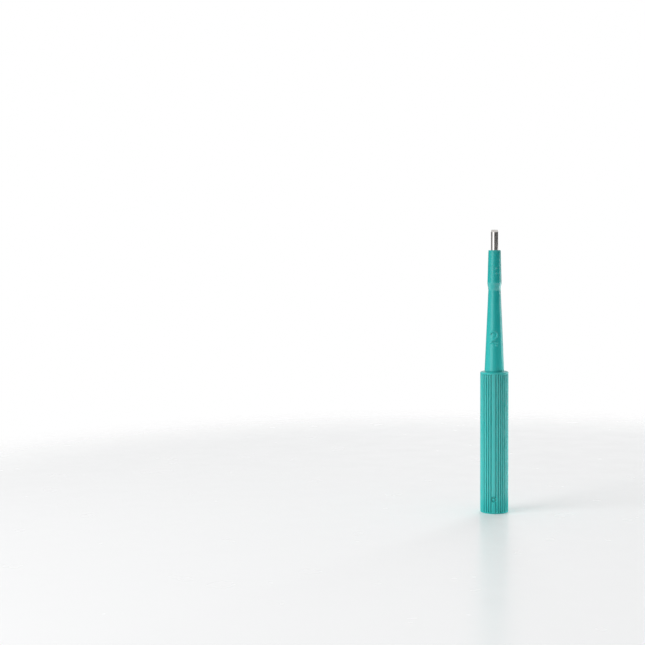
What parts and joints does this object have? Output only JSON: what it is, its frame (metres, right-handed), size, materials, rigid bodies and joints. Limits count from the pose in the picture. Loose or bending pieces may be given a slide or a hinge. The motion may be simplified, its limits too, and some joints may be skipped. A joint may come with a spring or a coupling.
{
  "type": "biopsy punch",
  "caption": "Disposable biopsy punch: a sharpened round steel tube seated in a ribbed plastic pencil-style handle with a tapered neck and collar.",
  "frame": {"origin": "centre of the flat rear end of the handle, which it stands on", "axes": "+Z along the punch's axis towards the cutting rim, -Y towards the side with the numeral and the gate mark"},
  "size_m": [0.01, 0.01, 0.1004],
  "materials": {
    "handle_plastic": "teal injection-moulded plastic, semi-gloss, slightly translucent in look",
    "tube_steel": "bright drawn stainless steel tube with a ground cutting bevel"
  },
  "bodies": {
    "root": {"handle": "handle_plastic", "cutting_tube": "tube_steel"}
  },
  "joints": []
}
